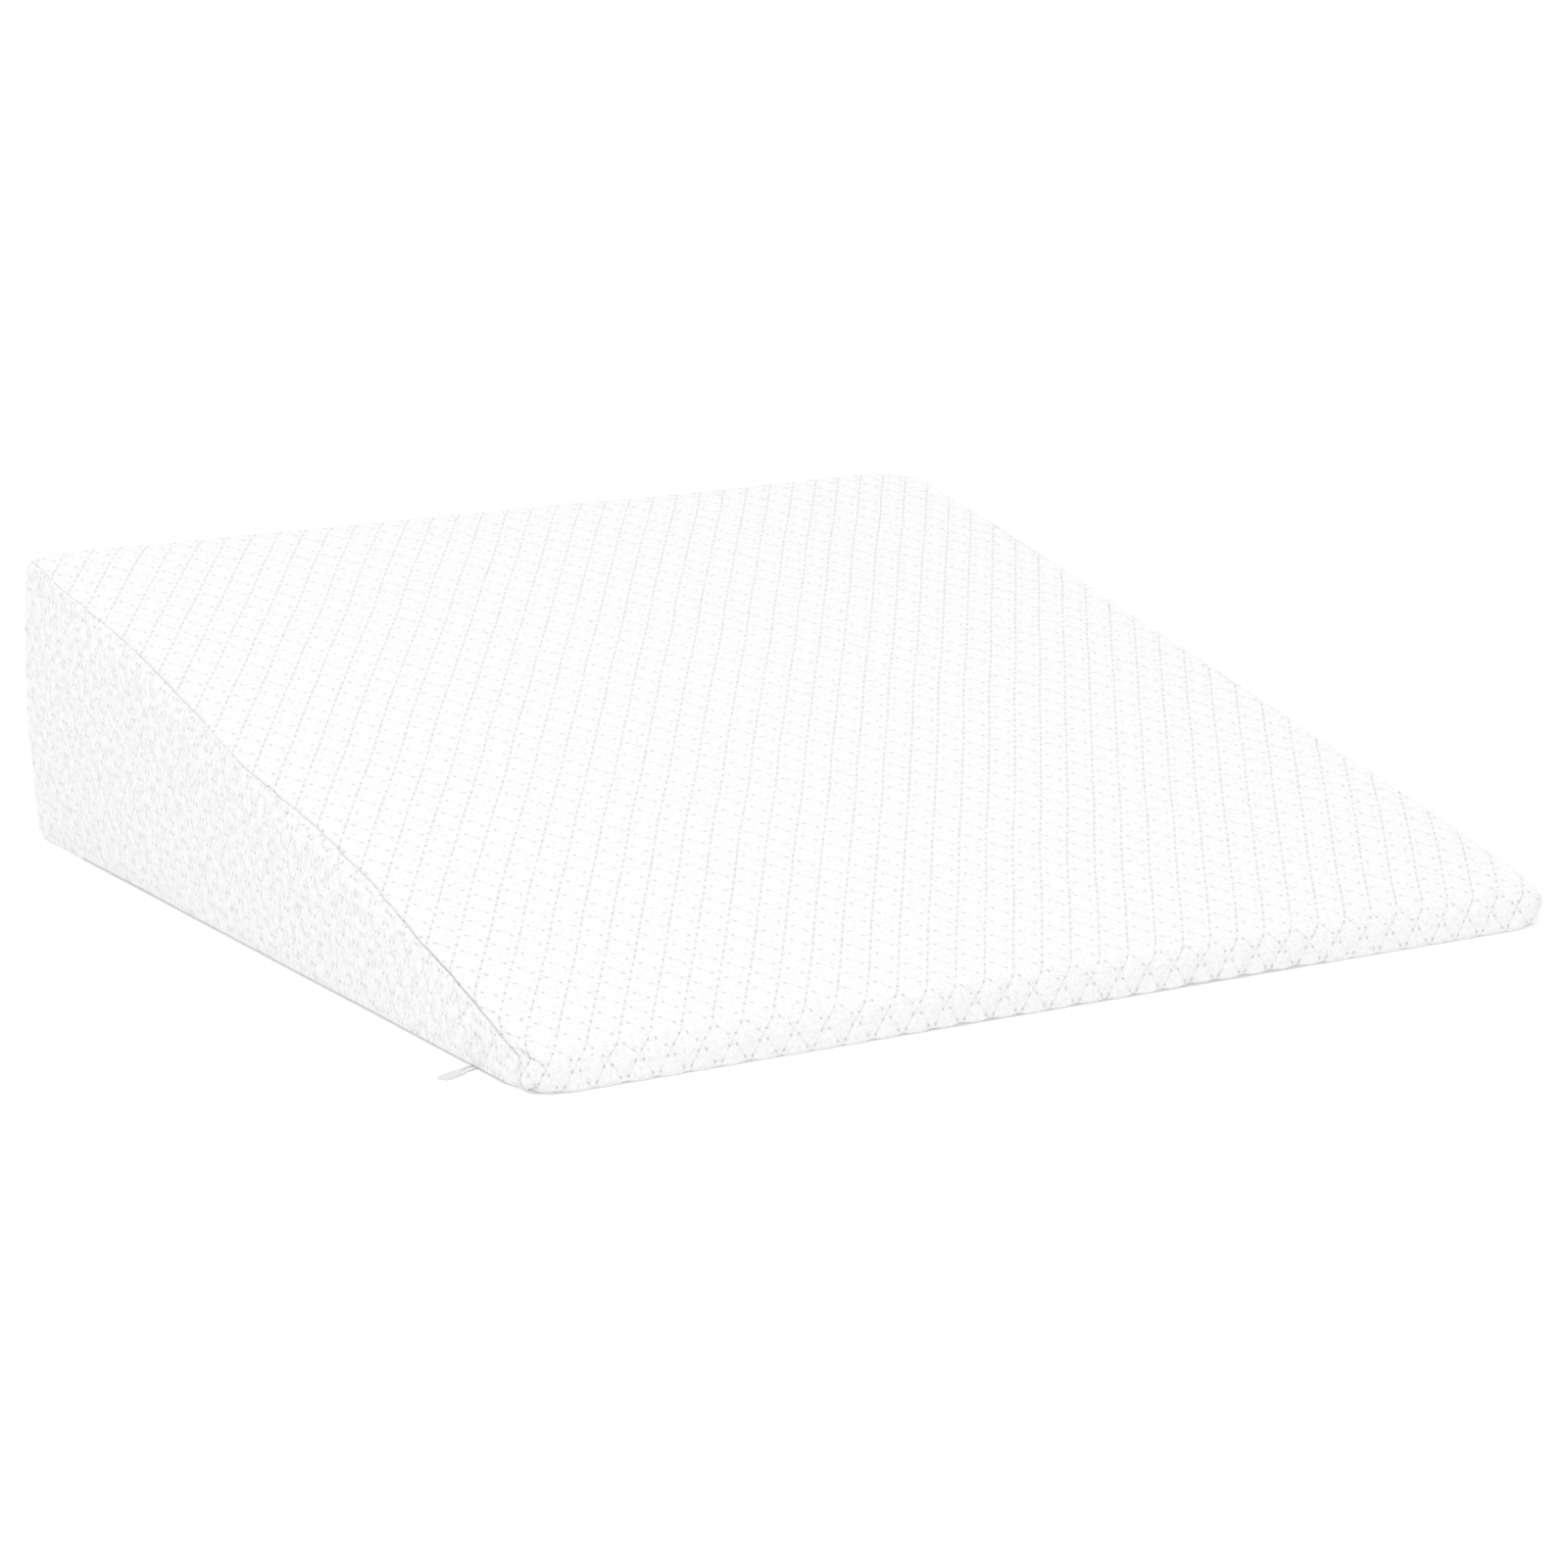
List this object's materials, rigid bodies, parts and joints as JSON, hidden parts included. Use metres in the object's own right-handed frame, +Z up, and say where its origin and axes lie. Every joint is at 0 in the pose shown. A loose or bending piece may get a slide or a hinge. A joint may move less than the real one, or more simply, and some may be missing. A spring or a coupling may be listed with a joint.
{
  "type": "bed wedge cushion",
  "caption": "Foam wedge cushion that slopes from a high back to a thin front edge, in a diamond-quilted zip-off cover.",
  "frame": {"origin": "middle of the rectangular footprint, on the underside of the bottom panel", "axes": "+X to the right along the thin front edge, +Y from the thin front edge towards the high back, +Z up"},
  "size_m": [0.6589, 0.686, 0.1773],
  "materials": {
    "quilted_knit": "white double-jersey knit, quilted in small diamonds",
    "base_cloth": "plain white woven polyester",
    "base_foam": "open-cell polyurethane foam, cut faces",
    "memory_foam": "dense slow-recovery polyurethane foam, cut faces",
    "zip_tape": "white herringbone polyester tape",
    "zip_nylon": "white nylon monofilament coil",
    "zip_metal": "die-cast zinc, white enamel"
  },
  "bodies": {
    "root": {"foam_base_wedge": "base_foam", "memory_foam_layer": "memory_foam", "cover_wrap_panel": "quilted_knit", "cover_side_panel_left": "quilted_knit", "cover_side_panel_right": "quilted_knit", "cover_bottom_panel": "base_cloth", "zip_tape_outer": "zip_tape", "zip_tape_inner": "zip_tape", "zip_coil_outer": "zip_nylon", "zip_coil_inner": "zip_nylon", "zip_top_stop_outer": "zip_metal", "zip_top_stop_inner": "zip_metal", "zip_bottom_stop": "zip_metal"},
    "slider": {"zip_slider": "zip_metal"},
    "pull_tab": {"zip_pull_tab": "zip_metal"}
  },
  "joints": [
    {"name": "zip_slide", "type": "slide", "parent": "root", "child": "slider", "axis": [0, 1, 0], "range_m": [0, 0.515]},
    {"name": "zip_tab_swing", "type": "hinge", "parent": "slider", "child": "pull_tab", "pos_m": [-0.31, -0.2717, 0.0026], "axis": [0, 0, 1], "range_deg": [-70, 60]}
  ]
}
